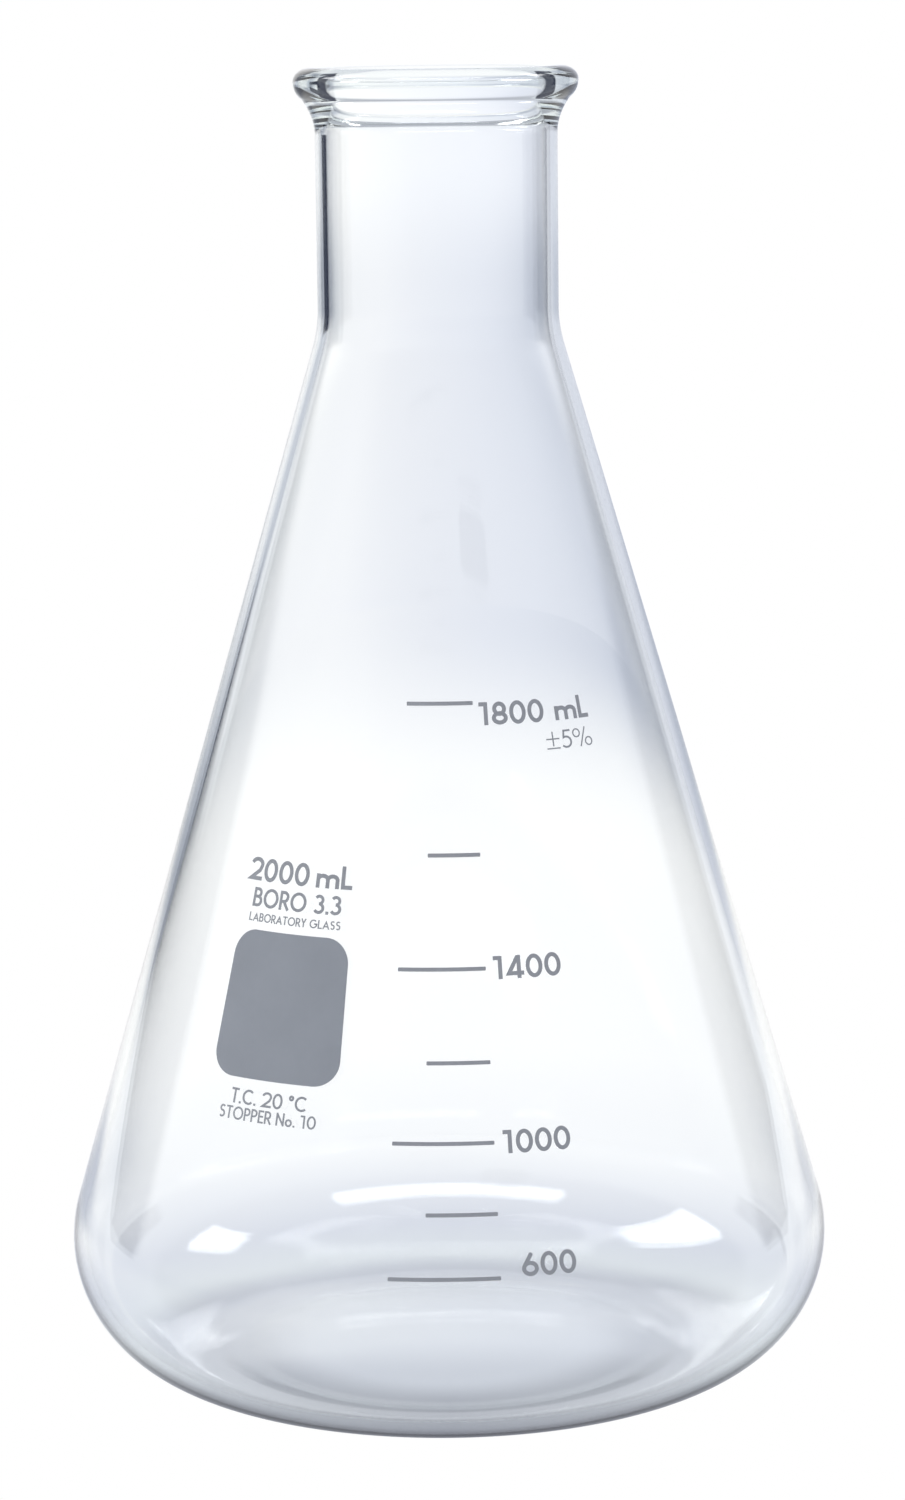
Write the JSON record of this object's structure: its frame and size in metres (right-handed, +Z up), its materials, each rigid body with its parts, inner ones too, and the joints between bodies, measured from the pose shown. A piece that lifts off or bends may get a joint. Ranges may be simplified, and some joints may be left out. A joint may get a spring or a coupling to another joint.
{
  "type": "erlenmeyer flask",
  "caption": "Conical glass laboratory flask with a narrow beaded neck, a flat-standing pushed-up base, and a fired enamel scale, label and marking spot on the front.",
  "frame": {"origin": "centre of the circle the base stands on, on the flask's axis", "axes": "+Z up along the flask's axis to the mouth, -Y towards the front, where the scale is, +X to the right as seen from the front"},
  "size_m": [0.1596, 0.1596, 0.2715],
  "materials": {
    "borosilicate_glass": "clear, fire-polished",
    "graduation_enamel": "fired grey enamel, satin",
    "lettering_enamel": "fired grey enamel, satin",
    "marking_spot_enamel": "fired grey enamel, matt so that pencil takes"
  },
  "bodies": {
    "root": {"capacity_1_2": "lettering_enamel", "capacity_2_0": "lettering_enamel", "capacity_3_0": "lettering_enamel", "capacity_4_0": "lettering_enamel", "flask_body": "borosilicate_glass", "graduation_0600_ml": "graduation_enamel", "graduation_0800_ml": "graduation_enamel", "graduation_1000_ml": "graduation_enamel", "graduation_1200_ml": "graduation_enamel", "graduation_1400_ml": "graduation_enamel", "graduation_1600_ml": "graduation_enamel", "graduation_1800_ml": "graduation_enamel", "marking_spot": "marking_spot_enamel", "numeral_0600_1_6": "lettering_enamel", "numeral_0600_2_0": "lettering_enamel", "numeral_0600_3_0": "lettering_enamel", "numeral_1000_1_1": "lettering_enamel", "numeral_1000_2_0": "lettering_enamel", "numeral_1000_3_0": "lettering_enamel", "numeral_1000_4_0": "lettering_enamel", "numeral_1400_1_1": "lettering_enamel", "numeral_1400_2_4": "lettering_enamel", "numeral_1400_3_0": "lettering_enamel", "numeral_1400_4_0": "lettering_enamel", "numeral_1800_1_1": "lettering_enamel", "numeral_1800_2_8": "lettering_enamel", "numeral_1800_3_0": "lettering_enamel", "numeral_1800_4_0": "lettering_enamel", "tolerance_bar": "lettering_enamel", "tolerance_five": "lettering_enamel", "tolerance_percent_lower_ring": "lettering_enamel", "tolerance_percent_slash": "lettering_enamel", "tolerance_percent_upper_ring": "lettering_enamel", "tolerance_plus": "lettering_enamel", "unit_capacity_1_m": "lettering_enamel", "unit_capacity_2_L": "lettering_enamel", "unit_scale_1_m": "lettering_enamel", "unit_scale_2_L": "lettering_enamel"}
  },
  "joints": []
}
